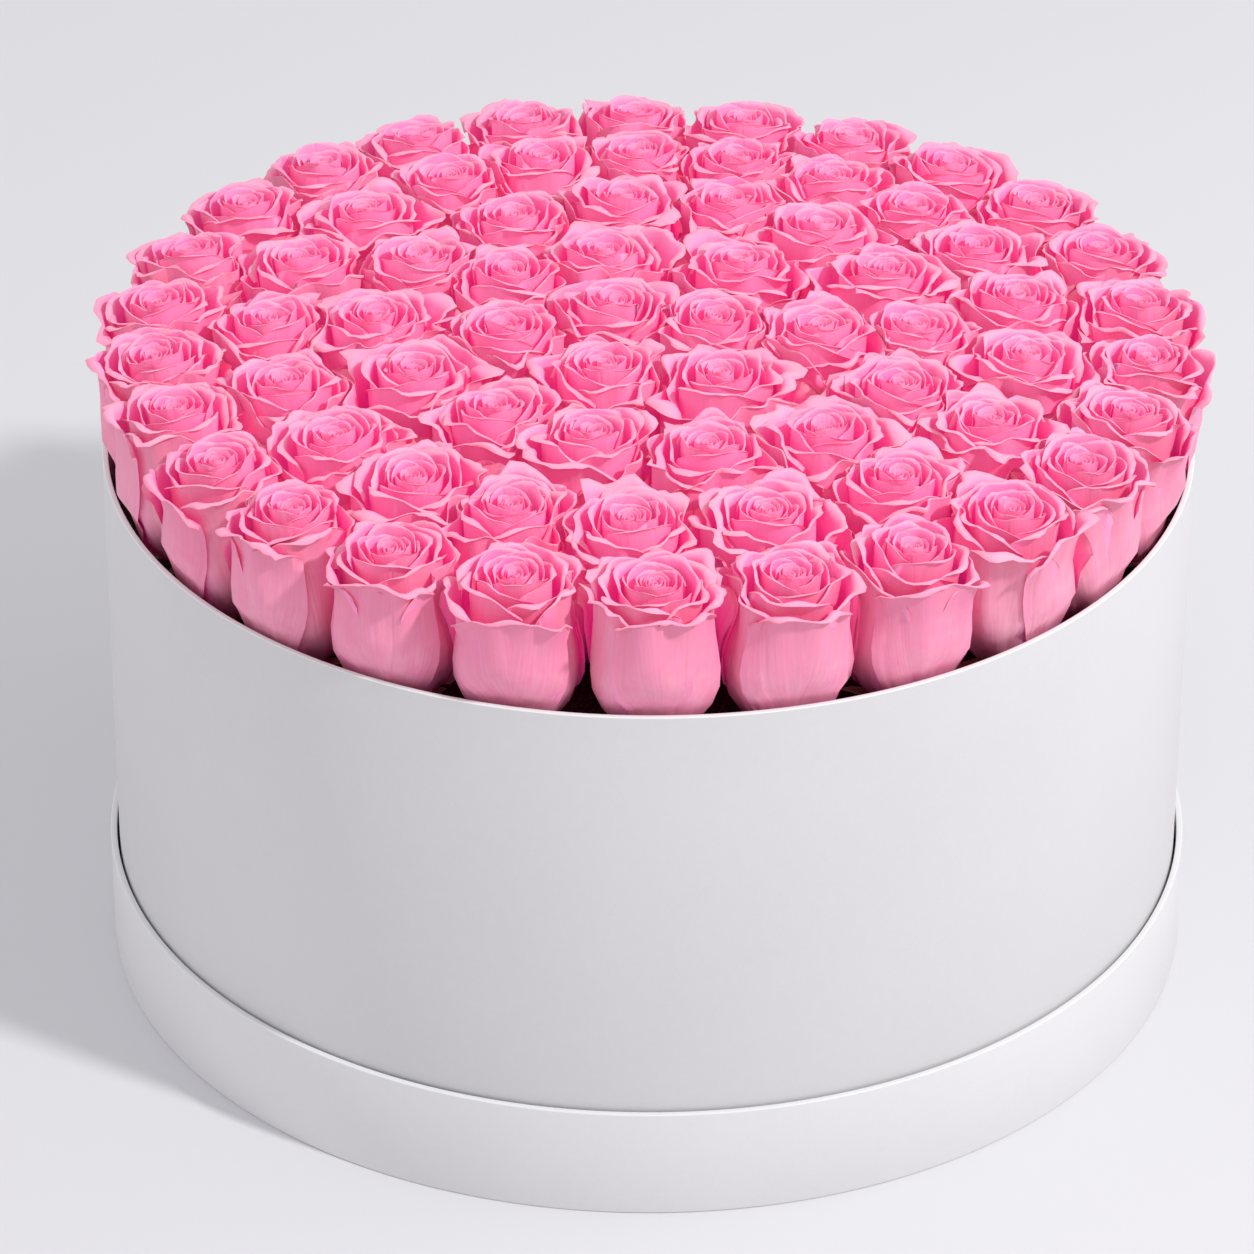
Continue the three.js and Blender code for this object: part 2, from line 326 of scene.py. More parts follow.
# A ring has a count, a radius, the direction of its first rose, the height of its eyes over the rim,
# an outward lean and a head size. Sway and swell shift the roses round and across the ring, in waves
# of (times round, size, direction of the crest). Lengths are in millimetres, angles in degrees.
RINGS = [
    {
        "name": "outer", "count": 26, "radius": 198.2, "start": 7.8,
        "eye": 44.9, "lean": 0.1, "size": 1.04,
        "sway": [(1, 0.8, 48), (2, 1.3, 252), (3, 0.5, 179)],
        "swell": [(1, 2.2, 261), (2, 1.3, 302), (3, 1.7, 41)],
    },
    {
        "name": "second", "count": 20, "radius": 153.5, "start": 2,
        "eye": 46.6, "lean": 0.05, "size": 1.2,
        "sway": [(1, 5.8, 8), (2, 3, 41), (3, 1.5, 287)],
        "swell": [(1, 0.8, 99), (2, 2.4, 213)],
    },
    {
        "name": "third", "count": 14, "radius": 106.2, "start": 23.3,
        "eye": 48.8, "lean": 0.03, "size": 1.32,
        "sway": [(1, 2.9, 297), (2, 1.5, 62), (3, 1.2, 137)],
        "swell": [(1, 6.1, 58), (2, 4.4, 285), (3, 4, 196)],
    },
    {
        "name": "fourth", "count": 7, "radius": 59.3, "start": 45,
        "eye": 50.2, "lean": 0.02, "size": 1.32,
        "sway": [(1, 9.2, 47), (2, 4.5, 185)],
        "swell": [(1, 8.5, 75), (2, 8.4, 330)],
    },
    {
        "name": "middle", "count": 2, "radius": 23, "start": 339,
        "eye": 50.2, "lean": 0, "size": 1.32,
        "sway": [(1, 24.8, 339)],
        "swell": [(1, 3.4, 339)],
    },
]

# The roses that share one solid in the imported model, each as (ring, place).
CLUSTERS = [
    [("third", 0), ("third", 1)],
    [("third", 2), ("third", 3)],
    [("third", 4), ("fourth", 1)],
    [("third", 5), ("fourth", 2)],
    [("third", 6), ("fourth", 3)],
    [("third", 7), ("third", 8)],
    [("third", 9), ("third", 10)],
    [("third", 11), ("third", 12)],
    [("third", 13), ("fourth", 6)],
    [("fourth", 4), ("fourth", 5)],
    [("fourth", 0), ("middle", 0), ("middle", 1)],
]


def smooth(value, low, high):
    """0 below low, 1 above high, and smooth between."""
    share = np.clip((value - low) / (high - low), 0, 1)
    return share * share * (3 - 2 * share)


def draw(index, purpose):
    """A repeatable draw from 0 to 1 for one rose and one purpose."""
    value = math.sin(index * 12.9898 + purpose * 78.233) * 43758.5453
    return value - math.floor(value)


def waves(terms, direction):
    """How far a ring's sway or swell shifts a rose that stands in one direction."""
    return sum(size * math.cos(times * direction - crest * DEGREE) for times, size, crest in terms)


def rose_places():
    """Every rose with its eye, its stem's place, its lean and its size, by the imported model's rule."""
    roses = []
    for ring in RINGS:
        for place in range(ring["count"]):
            even = ring["start"] * DEGREE + FULL_TURN * place / ring["count"]
            direction = even + waves(ring["sway"], even) * DEGREE
            distance = (ring["radius"] + waves(ring["swell"], even)) * MM
            index = len(roses)
            way = np.array([math.cos(direction), math.sin(direction)])
            spread = np.array([draw(index, LEAN_X) - 0.5, draw(index, LEAN_Y) - 0.5])
            lean = ring["lean"] * way + LEAN_SPREAD * spread
            eye = distance * way
            roses.append({
                "index": index,
                "ring": ring["name"],
                "place": place,
                "direction": direction,
                "eye": eye,
                "lean": lean,
                "stem": eye - lean * HEAD_EYE,
                "base": RIM_HEIGHT + ring["eye"] * MM - HEAD_EYE,
                "size": ring["size"] * (1 + SIZE_SPREAD * (draw(index, HEAD_SIZE) - 0.5)),
            })
    return roses


def set_borders(roses):
    """The straight borders of each rose's cell, half way to each other rose, less half the gap, and
    1 or -1 for which of the two heads laps over the other there."""
    eyes = np.array([rose["eye"] for rose in roses])
    for rose in roses:
        step = np.delete(eyes, rose["index"], axis=0) - rose["eye"]
        apart = np.linalg.norm(step, axis=1)
        toward = step / apart[:, None]
        rose["toward"] = toward
        rose["border"] = toward @ rose["eye"] + apart / 2 - NEIGHBOUR_GAP / 2
        others = [draw(other["index"], LAP_RANK) for other in roses if other is not rose]
        rose["over"] = np.where(np.array(others) < draw(rose["index"], LAP_RANK), 1, -1)


def name_nodes(roses):
    """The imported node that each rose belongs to: its own, or that of its cluster."""
    members = {key: i + 1 for i, cluster in enumerate(CLUSTERS) for key in cluster}
    counts = {}
    for rose in roses:
        number = members.get((rose["ring"], rose["place"]))
        if number is None:
            number = counts[rose["ring"]] = counts.get(rose["ring"], 0) + 1
            rose["node"] = f"rose_{rose['ring']}_{number:02d}"
        else:
            rose["node"] = f"rose_cluster_{number:02d}"


OVERLAP = 5.5 * MM
OVERLAP_FROM = 12 * MM
OVERLAP_FULL = 34 * MM
OVERLAP_MEAN = 0.45
OVERLAP_WAVE = 0.55
OVERLAP_PACE = np.array([260.0, 190.0])
BORDER_FACED = 0.05


def reach(rose, start, way, z, limit):
    """How far a ray runs inside the rose's own cell and a circle round the whole bouquet. High up,
    one of two neighbours laps over the other by a little, so their shared border waves."""
    along = (start * way).sum(1)
    outside = (start ** 2).sum(1) - limit ** 2
    far = -along + np.sqrt(along ** 2 - outside)
    speed = way @ rose["toward"].T
    left = rose["border"] - start @ rose["toward"].T
    faced = np.where(speed > BORDER_FACED, speed, np.inf)
    run = np.maximum(left / faced, 0)
    phase = (start @ OVERLAP_PACE)[:, None] + (way @ OVERLAP_PACE)[:, None] * run
    lap = OVERLAP * (OVERLAP_MEAN + OVERLAP_WAVE * np.sin(phase)) * rose["over"]
    lifted = smooth(z - RIM_HEIGHT, OVERLAP_FROM, OVERLAP_FULL)[:, None]
    borders = np.where(speed > BORDER_FACED, (left + lap * lifted) / faced, np.inf)
    return np.minimum(far, borders.min(axis=1))


def wall_radius(z):
    """The widest that the bouquet may be at a height: inside the wall, and less tight above it."""
    inside = TUB_RADIUS - TUB_WALL - RIM_GAP
    return np.minimum(OVERHANG_RADIUS, inside + OVERHANG_SLOPE * np.maximum(0, z - RIM_HEIGHT))


EASE_FROM = 0.88
SIZE_FADE = 5


def place_on_head(rose, way, radius, height, inset=0):
    """Points of a head at their real places, from the way, radius and height of each round its axis.
    The outer petals open where their cell has room, and near its edge a point is eased back, so that
    layers keep their order and none crosses it. A positive inset sinks a point towards the axis."""
    out = np.stack([np.cos(way), np.sin(way)], axis=-1)
    eye = np.broadcast_to(rose["eye"], out.shape)
    z = rose["base"] + height - (out @ rose["lean"]) * radius
    room = reach(rose, eye, out, z, OVERHANG_RADIUS)
    open_size = np.minimum(rose["size"], room / PRESSED_RADIUS)
    free = radius * (1 + (open_size - 1) * (radius / HEAD_RADIUS) ** SIZE_FADE)
    axis = rose["stem"] + rose["lean"] * height[:, None]
    z = rose["base"] + height - (out @ rose["lean"]) * free
    room = reach(rose, axis, out, z, wall_radius(z))
    share = free / room
    past = np.maximum(0, share - EASE_FROM) / (1 - EASE_FROM)
    eased = EASE_FROM + (1 - EASE_FROM) * (1 - np.exp(-past))
    distance = room * np.where(past > 0, eased, share) - inset * np.minimum(1, radius / HEAD_RADIUS)
    return np.column_stack([axis + distance[:, None] * out, z])


roses = rose_places()
set_borders(roses)
name_nodes(roses)


# Under each head a short stem runs down into the foam, green gone olive brown as in preserved
# roses. It swells to the foot that carries the petals, with five thin sepals spread round it.
STEM_RADIUS = 2.6 * MM
STEM_SIDES = 10
STEM_IN_FOAM = 29.8 * MM

# The foot swells in steps of (rise in millimetres, how much wider).
FOOT_FLARE = [(3.5, 1.9), (2.5, 1.25), (3, 0.8)]
SEPAL_LENGTH = 17 * MM
SEPAL_WIDTH = 6.5 * MM
SEPAL_THICKNESS = 0.5 * MM
SEPAL_RISE = 4.5 * MM
SEPAL_UNEVEN = 0.22
SEPAL_FOOT = 0.16
SEPAL_TROUGH = 0.25
SEPAL_WAVE = 0.6 * MM
SEPAL_ROWS = 8
SEPALS = 5
LEAF_PATCH_SCALE = 130
LEAF_RIB_SCALE = 900
LEAF_BUMP = 0.5
LEAF_RIB_DEPTH = 0.3 * MM
LEAF_ROUGHNESS = 0.55
LEAF_OLIVE = (0.5, 0.56, 0.28, 1)
LEAF_BROWN = (0.56, 0.33, 0.2, 1)


def sepal(number):
    """A thin pointed blade that leaves the foot of the head and bends up under its petals. Its
    length, bend and turn differ a little from its neighbours'."""
    bpy.ops.object.select_all(action="DESELECT")
    bpy.ops.mesh.primitive_grid_add(x_subdivisions=SEPAL_ROWS, y_subdivisions=2, size=1)
    blade = bpy.context.object
    length = SEPAL_LENGTH * (1 + SEPAL_UNEVEN * math.cos(2.4 * number))
    bend = SEPAL_RISE * (0.55 + 0.75 * math.cos(1.9 * number))
    for vertex in blade.data.vertices:
        along = vertex.co.x + 0.5
        side = 2 * vertex.co.y
        swell = math.sin(math.pi * (SEPAL_FOOT + (1 - SEPAL_FOOT) * along)) ** 0.8
        width = SEPAL_WIDTH / 2 * swell
        trough = SEPAL_TROUGH * width * abs(side)
        wave = SEPAL_WAVE * math.sin(7 * along + number)
        height = bend * along ** 1.5 + trough + wave
        vertex.co = (0.8 * STEM_RADIUS + length * along, side * width, height)
    thicken = blade.modifiers.new("thickness", "SOLIDIFY")
    thicken.thickness = SEPAL_THICKNESS
    thicken.offset = 0
    bpy.ops.object.modifier_apply(modifier="thickness")
    blade.rotation_euler.z = FULL_TURN * number / SEPALS + 0.25 * math.sin(5 * number)
    bpy.ops.object.transform_apply()
    return blade


def model_stem(length):
    """One stem from its cut end up to the foot of the head, which stands at the origin."""
    blades = [sepal(number) for number in range(SEPALS)]
    bpy.ops.object.select_all(action="DESELECT")
    bpy.ops.mesh.primitive_cylinder_add(
        vertices=STEM_SIDES, radius=STEM_RADIUS, depth=length, location=(0, 0, -length / 2)
    )
    stem = bpy.context.object
    bpy.ops.object.transform_apply()
    bpy.ops.object.mode_set(mode="EDIT")
    top = 0
    for rise, spread in FOOT_FLARE:
        select_parts(stem, "FACE", lambda face: face.calc_center_median().z > top - NEAR)
        bpy.ops.mesh.extrude_region_move(TRANSFORM_OT_translate={"value": (0, 0, rise * MM)})
        bpy.ops.transform.resize(value=(spread, spread, 1))
        top += rise * MM
    bpy.ops.object.mode_set(mode="OBJECT")
    for blade in blades:
        blade.select_set(True)
    bpy.ops.object.join()
    bpy.ops.object.shade_smooth_by_angle(angle=SMOOTH_ANGLE)
    return stem


def rose_leaf():
    """Dull leaf skin, olive with red-brown patches and fine ribs."""
    finish, start = new_finish("rose_leaf")
    place = start.node("ShaderNodeTexCoord", {}, {}, output="Object")
    patches = start.noise(LEAF_PATCH_SCALE, 3, place)
    ribs = start.noise(LEAF_RIB_SCALE, 2, place)
    colour = (patches + 0.2 * (ribs - 0.5)).ease(0.4, 0.62).blend(LEAF_OLIVE, LEAF_BROWN)
    roughness = LEAF_ROUGHNESS + 0.2 * patches
    bump = relief(start, LEAF_BUMP, LEAF_RIB_DEPTH, ribs)
    close(start, surface(start, Base_Color=colour, Roughness=roughness, Normal=bump))
    return finish


leaf_finish = rose_leaf()
for ring in RINGS:
    head_base = RIM_HEIGHT + ring["eye"] * MM - HEAD_EYE
    pattern = model_stem(head_base - foam_top + STEM_IN_FOAM)
    grown = bmesh.new()
    ring_roses = [rose for rose in roses if rose["ring"] == ring["name"]]
    for rose in ring_roses:
        before = len(grown.verts)
        grown.from_mesh(pattern.data)
        grown.verts.ensure_lookup_table()
        spot = Matrix.Translation((*rose["stem"], rose["base"]))
        turned = spot @ Matrix.Rotation(FULL_TURN * draw(rose["index"], STEM_TURN), 4, "Z")
        bmesh.ops.transform(grown, matrix=turned, verts=grown.verts[before:])
    stems = pattern
    stems.name = f"stems_{ring['name']}"
    grown.to_mesh(stems.data)
    grown.free()
    stems.data.materials.append(leaf_finish)
    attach(stems, "root")
    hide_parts(*sorted({rose["node"] for rose in ring_roses}))


# A rose head is twenty-nine thin petals in layers. The outermost spread into what room the neighbours
# leave. Five guard petals make the cup, laid over each other in the order in which they opened, their
# lips turned back. Each whorl inside overlaps like a pinwheel, down to the rolled eye.
PETAL_THICKNESS = 0.4 * MM
NO_LENGTH = 1e-12
CUP_WIDEST = 37 * MM
CUP_LEAST = 0.02
CUP_ROUND = 0.55
BELLY_TO_RIM = (22 * MM, 62 * MM)
CLOSE_FROM = 46 * MM
FULL_WIDTH_AT = 0.75
GUARD_STEP = 0.55 * MM
EDGE_LIFT = 0.9 * MM
DENT = 0.45 * MM
RAISED_FROM = (0.05, 0.4)
OPENING_ORDER = [0, 3, 1, 4, 2]
WAVE_PACE = (0.9, 2.3)
COVERED_TO = -0.25
TIP_PLACE = 0.8
TIP_WIDTH = 0.13
TIP_SIZE = (0.2, 1.3)
TIP_UNCURL = 0.4
CORNER_DROP = 0.16
COVERED_CORNER_DROP = 0.12
CORNER_ROUND = 7
FLARE_DROP = 0.4
CURL_WAVE = 0.25
LIP_MEAN = 0.75
LIP_WAVE = 0.5
LIP_COVERED = 0.12
LIP_TAPER = 0.4
SLACK = 0.8
SPREAD_APART = 56 * DEGREE
SPREAD_STEP = 5 * DEGREE
RIM_SIDE = 0.15
LAYER_TURN = (0.7, 1.3)
HEAD_TURN = 0.35
PETAL_SWING = 0.1
OUTSIDE_AT_EDGE = 0.8
# The outer skin's share where a neighbour covers it, the rest painted shade, and the radii from the
# bouquet's shaded inside to its edge, open to light.
OUTSIDE_SHADED_WHERE_COVERED = 0.3
OPEN_TO_LIGHT_RADII = (186 * MM, 214 * MM)

# A layer, outermost first. A petal's wall starts at from, is belly wide low down and radius wide at
# its rim, spans half degrees to each side, and is narrow times that at its foot. Depth runs from 0,
# outermost, to 1, the eye. The rim's height varies by rim_spread, falls to the sides by arch, and
# waves by ripple, with nicks up to rag deep. Flare opens a petal. The lip has a width, pointed
# corners of tip and a curl. Tuck slides each petal under the next, close draws the top in, and off
# and tilt push the whole layer out of true. The last row counts the mesh's points. Lengths are in
# millimetres, angles in degrees.
LAYERS = [
    {
        "petals": 4, "belly": 26, "radius": 25.4, "half": 38, "narrow": 0.4, "from": 6, "depth": 0.05,
        "rim": 61, "rim_spread": 3, "arch": 0.55, "ripple": 1.2, "rag": 3, "flare": 5,
        "lip": 9, "tip": 1.6, "curl": 78, "tuck": 0, "close": 0, "off": 0, "tilt": 0,
        "columns": 17, "wall": 7, "lip_rows": 3,
    },
    {
        "petals": 5, "belly": 26.2, "radius": 22.2, "half": 54, "narrow": 0.5, "from": 4, "depth": 0,
        "rim": 68.2, "rim_spread": 1.8, "arch": 0.5, "ripple": 0.8, "rag": 2, "flare": 3.5,
        "lip": 6, "tip": 3.4, "curl": 132, "tuck": 0, "close": 0, "off": 0, "tilt": 0,
        "columns": 21, "wall": 9, "lip_rows": 4,
    },
    {
        "petals": 4, "belly": 20, "radius": 17.6, "half": 64, "narrow": 0.75, "from": 4, "depth": 0.25,
        "rim": 70.6, "rim_spread": 1.3, "arch": 0.5, "ripple": 0.6, "rag": 1, "flare": 1,
        "lip": 3.8, "tip": 2.2, "curl": 120, "tuck": 0.04, "close": 0, "off": 0.4, "tilt": 0.03,
        "columns": 17, "wall": 7, "lip_rows": 3,
    },
    {
        "petals": 3, "belly": 16, "radius": 14, "half": 80, "narrow": 0.9, "from": 8, "depth": 0.42,
        "rim": 72.4, "rim_spread": 1, "arch": 0.42, "ripple": 0.5, "rag": 0.6, "flare": 0.6,
        "lip": 2.4, "tip": 1.2, "curl": 90, "tuck": 0.06, "close": 0, "off": 0.7, "tilt": 0.06,
        "columns": 15, "wall": 6, "lip_rows": 3,
    },
    {
        "petals": 3, "belly": 12, "radius": 10.9, "half": 84, "narrow": 1, "from": 16, "depth": 0.57,
        "rim": 73, "rim_spread": 0.9, "arch": 0.38, "ripple": 0.4, "rag": 0.4, "flare": 0.3,
        "lip": 1.7, "tip": 0.7, "curl": 75, "tuck": 0.075, "close": 0.02, "off": 0.7, "tilt": 0.08,
        "columns": 15, "wall": 5, "lip_rows": 2,
    },
    {
        "petals": 3, "belly": 8.8, "radius": 8.1, "half": 88, "narrow": 1, "from": 24, "depth": 0.72,
        "rim": 72.8, "rim_spread": 0.8, "arch": 0.34, "ripple": 0.3, "rag": 0.2, "flare": 0,
        "lip": 1.2, "tip": 0.5, "curl": 60, "tuck": 0.09, "close": 0.05, "off": 0.7, "tilt": 0.1,
        "columns": 13, "wall": 4, "lip_rows": 2,
    },
    {
        "petals": 3, "belly": 6, "radius": 5.7, "half": 92, "narrow": 1, "from": 32, "depth": 0.86,
        "rim": 72.2, "rim_spread": 0.7, "arch": 0.3, "ripple": 0.2, "rag": 0, "flare": 0,
        "lip": 0.8, "tip": 0.3, "curl": 45, "tuck": 0.12, "close": 0.12, "off": 0.6, "tilt": 0.12,
        "columns": 11, "wall": 4, "lip_rows": 1,
    },
    {
        "petals": 2, "belly": 3.9, "radius": 3.8, "half": 130, "narrow": 1, "from": 42, "depth": 0.95,
        "rim": 71.2, "rim_spread": 0.5, "arch": 0.12, "ripple": 0.1, "rag": 0, "flare": 0,
        "lip": 0.5, "tip": 0, "curl": 25, "tuck": 0.24, "close": 0.2, "off": 0.3, "tilt": 0.15,
        "columns": 13, "wall": 4, "lip_rows": 1,
    },
    {
        "petals": 2, "belly": 2.1, "radius": 2, "half": 140, "narrow": 1, "from": 50, "depth": 1,
        "rim": 70.6, "rim_spread": 0.3, "arch": 0.1, "ripple": 0, "rag": 0, "flare": 0,
        "lip": 0.4, "tip": 0, "curl": -40, "tuck": 0.3, "close": 0.45, "off": 0.1, "tilt": 0.1,
        "columns": 9, "wall": 4, "lip_rows": 1,
    },
]
ROSE_SEED = 4100


def roomy_ways(rose, count):
    """The directions, well apart, in which a rose's neighbours leave most room. In the outer ring
    none faces the rim, where the guard petals show."""
    ways = rose["direction"] + np.arange(0, FULL_TURN, SPREAD_STEP)
    if rose["ring"] == "outer":
        ways = ways[np.cos(ways - rose["direction"]) < RIM_SIDE]
    out = np.column_stack([np.cos(ways), np.sin(ways)])
    eye = np.broadcast_to(rose["eye"], out.shape)
    room = reach(rose, eye, out, np.full(len(ways), RIM_HEIGHT), OVERHANG_RADIUS)
    picked = []
    for way in ways[np.argsort(-room)]:
        if all(math.cos(way - other) < math.cos(SPREAD_APART) for other in picked):
            picked.append(way)
    return picked[:count]


def covered_ends(layer, number, hand):
    """Whether a petal's left and right ends lie under its neighbours, and how deep it lies."""
    if layer["tuck"]:
        return hand > 0, hand < 0, 0
    count = layer["petals"]
    if count != len(OPENING_ORDER):
        return False, False, 0
    rank = OPENING_ORDER[number]
    before, after = OPENING_ORDER[number - 1], OPENING_ORDER[(number + 1) % count]
    return before < rank, after < rank, rank


def petal_sheet(layer, ends, middle, hand, random):
    """One petal as a grid of (way, radius, height), rows from its foot to the edge of its lip, with
    the relief that stands off its wall, and 1 where it is bare or 0 where a neighbour covers it.
    The wall rises as part of a cup to its neck, and from there the lip bends outwards in an arc."""
    left, right = ends
    across = np.linspace(-1, 1, layer["columns"])
    side = np.abs(across)
    half = layer["half"] * DEGREE
    phase = random.uniform(0, FULL_TURN, 6)
    pace = random.uniform(*WAVE_PACE, 4)
    bare = 1 - left * (1 - smooth(across, -1, COVERED_TO))
    bare = bare - right * (1 - smooth(-across, -1, COVERED_TO))
    flare = layer["flare"] * MM * random.uniform(0, 1) ** 2
    size = layer["radius"] * MM
    belly = layer["belly"] * MM
    tip_size = np.where(across < 0, random.uniform(*TIP_SIZE), random.uniform(*TIP_SIZE))
    tip = bare * tip_size * np.exp(-(((side - TIP_PLACE) / TIP_WIDTH) ** 2))

    arch = layer["arch"] * size * (1 - np.cos(half * across))
    corner = size * (CORNER_DROP + COVERED_CORNER_DROP * (1 - bare)) * side ** CORNER_ROUND
    top = (layer["rim"] + layer["rim_spread"] * random.uniform(-1, 1)) * MM
    ripple = layer["ripple"] * MM
    rim = top - arch - corner - FLARE_DROP * flare
    rim = rim + ripple * np.sin(pace[0] * math.pi * across + phase[0])
    bend = 1 + CURL_WAVE * np.sin(pace[1] * math.pi * across + phase[1])
    curl = layer["curl"] * DEGREE * bend * (1 - TIP_UNCURL * tip)
    fold = LIP_MEAN + LIP_WAVE * np.sin(pace[2] * math.pi * across + phase[2])
    width = (LIP_COVERED + (1 - LIP_COVERED) * bare) * fold * (1 - LIP_TAPER * side ** 5)
    nicks = layer["rag"] * MM * random.uniform(-1, 1, len(across)) ** 3 * bare
    lip = layer["lip"] * MM * width + layer["tip"] * MM * tip + nicks
    neck = rim - lip * np.sin(curl) / curl

    foot = layer["from"] * MM
    share = np.linspace(0, 1, layer["wall"])[:, None]
    height = foot + (neck - foot) * share
    cup = np.sin(math.pi / 2 * np.clip(height / CUP_WIDEST, CUP_LEAST, 1)) ** CUP_ROUND
    radius = cup * (belly + (size - belly) * smooth(height, *BELLY_TO_RIM))
    radius = radius * (1 - layer["close"] * smooth(height, CLOSE_FROM, neck))
    radius = radius + flare * smooth(height, CLOSE_FROM, neck) ** 2
    turned = curl * np.linspace(0, 1, layer["lip_rows"] + 1)[1:, None]
    height = np.vstack([height, neck + lip / curl * np.sin(turned)])
    radius = np.vstack([radius, radius[-1] + lip / curl * (1 - np.cos(turned))])

    risen = height / neck
    narrowed = layer["narrow"] + (1 - layer["narrow"]) * smooth(risen, 0, FULL_WIDTH_AT)
    way = middle + half * across * narrowed
    radius = radius * (1 + hand * layer["tuck"] * across)
    frill = np.sin(1.7 * pace[0] * math.pi * across + phase[3]) * risen ** 5
    slack = SLACK * np.sin(pace[3] * math.pi * across + phase[4] + 5 * risen)
    radius = radius + ripple * (frill + slack) * bare
    dents = np.sin(2.3 * pace[1] * across + 6 * risen + phase[5]) * np.sin(4 * across + phase[4])
    raised = (EDGE_LIFT * side ** 6 + DENT * dents * (1 - across ** 2)) * bare
    raised = raised * smooth(risen, *RAISED_FROM)
    return way, radius, height, raised, np.broadcast_to(bare, way.shape)


def petal_shell(points):
    """A closed thin shell over a grid of points: two skins that meet all round at the edge, with the
    outer skin's vertices first. Also returned is which points lie inside that edge."""
    rows, columns = points.shape[:2]
    along = np.gradient(points, axis=0)
    sideways = np.gradient(points, axis=1)
    normal = np.cross(sideways, along)
    normal /= np.linalg.norm(normal, axis=2, keepdims=True) + NO_LENGTH
    inner = np.zeros((rows, columns), bool)
    inner[1:-1, 1:-1] = True
    half = PETAL_THICKNESS / 2 * inner[..., None] * normal
    front = np.arange(rows * columns).reshape(rows, columns)
    back = front.copy()
    back[inner] = rows * columns + np.arange(inner.sum())
    vertices = np.vstack([(points + half).reshape(-1, 3), (points - half)[inner]])
    quads = [
        np.stack([grid[:-1, :-1], grid[:-1, 1:], grid[1:, 1:], grid[1:, :-1]], axis=-1).reshape(-1, 4)
        for grid in (front, back)
    ]
    faces = np.vstack([quads[0], quads[1][:, ::-1]])
    return vertices, faces, inner


def rose_mesh(rose):
    """All the petals of one head in one mesh, with the values that its material reads."""
    random = np.random.default_rng(ROSE_SEED + rose["index"])
    hand = 1 if random.uniform() < 0.5 else -1
    turn = rose["direction"] + random.uniform(-HEAD_TURN, HEAD_TURN)
    vertices, faces, at_edge, count = [], [], [], 0
    values = {"across": [], "up": [], "depth": [], "outside": [], "open_to_light": [], "tint": []}
    ways = roomy_ways(rose, LAYERS[0]["petals"])
    for place, layer in enumerate(LAYERS):
        if place:
            ways = turn + FULL_TURN * np.arange(layer["petals"]) / layer["petals"]
            turn += random.uniform(*LAYER_TURN)
        off_way, tilt_way = random.uniform(0, FULL_TURN, 2)
        for number, even in enumerate(ways):
            *ends, lies = covered_ends(layer, number, hand)
            middle = even + PETAL_SWING * random.uniform(-1, 1) * FULL_TURN / layer["petals"]
            way, radius, height, raised, bare = petal_sheet(layer, ends, middle, hand, random)
            high = smooth(height, *BELLY_TO_RIM)
            height = height + layer["tilt"] * radius * np.cos(way - tilt_way) * high
            radius = radius + layer["off"] * MM * np.cos(way - off_way) * high
            flat = [way.ravel(), radius.ravel(), height.ravel()]
            placed = place_on_head(rose, *flat, inset=GUARD_STEP * lies - raised.ravel())
            shell, quads, inner = petal_shell(placed.reshape(*way.shape, 3))
            vertices.append(shell)
            faces.append(quads + count)
            count += len(shell)
            rows, columns = way.shape
            up = np.broadcast_to(np.linspace(0, 1, rows)[:, None], way.shape)
            across = np.broadcast_to(np.linspace(-1, 1, columns), way.shape)
            for key, whole in (("up", up), ("across", across)):
                values[key].append(np.concatenate([whole.ravel(), whole[inner]]))
            values["depth"].append(np.full(len(shell), layer["depth"]))
            values["tint"].append(np.full(len(shell), random.uniform()))
            # Where a neighbour covers a petal its outer skin's share falls, so the material paints a
            # deeper shade there.
            outside = np.where(inner, 1, OUTSIDE_AT_EDGE)
            outside = outside * (OUTSIDE_SHADED_WHERE_COVERED + (1 - OUTSIDE_SHADED_WHERE_COVERED) * bare)
            values["outside"].append(np.concatenate([outside.ravel(), np.zeros(inner.sum())]))
            # How far out in the bouquet a point lies, open to the room's light; further in, the material
            # paints shade.
            values["open_to_light"].append(smooth(np.linalg.norm(shell[:, :2], axis=1), *OPEN_TO_LIGHT_RADII))
            at_edge.append(np.concatenate([~inner.ravel(), np.zeros(inner.sum(), bool)]))
    mesh = bpy.data.meshes.new("rose")
    mesh.from_pydata(np.vstack(vertices).tolist(), [], np.vstack(faces).tolist())
    for key, parts in values.items():
        attribute = mesh.attributes.new(key, "FLOAT", "POINT")
        attribute.data.foreach_set("value", np.concatenate(parts).astype(np.float32))
    pairs = np.zeros(len(mesh.edges) * 2, np.int32)
    mesh.edges.foreach_get("vertices", pairs)
    sharp = np.concatenate(at_edge)[pairs.reshape(-1, 2)].all(axis=1)
    mesh.attributes.new("sharp_edge", "BOOLEAN", "EDGE").data.foreach_set("value", sharp)
    mesh.shade_smooth()
    return mesh


# Hot is the deep pink of the veins and of the petals low down, where it is partly painted shade; pale is
# painted lighter towards the lip.
PETAL_HOT = (0.98, 0.305, 0.575, 1)
PETAL_PALE = (0.98, 0.395, 0.57, 1)
PETAL_OUTER_DULL_AND_SHADE = (0.8, 0.235, 0.355, 1)
# The bloom's colour: partly vein pattern, partly painted light on the lit cups.
PETAL_LIT_BLOOM = (0.94, 0.52, 0.6, 1)
# The lips' pale colour is a painted highlight.
PETAL_RIM_HIGHLIGHT = (0.985, 0.375, 0.47, 1)
PETAL_EYE = (0.985, 0.21, 0.46, 1)
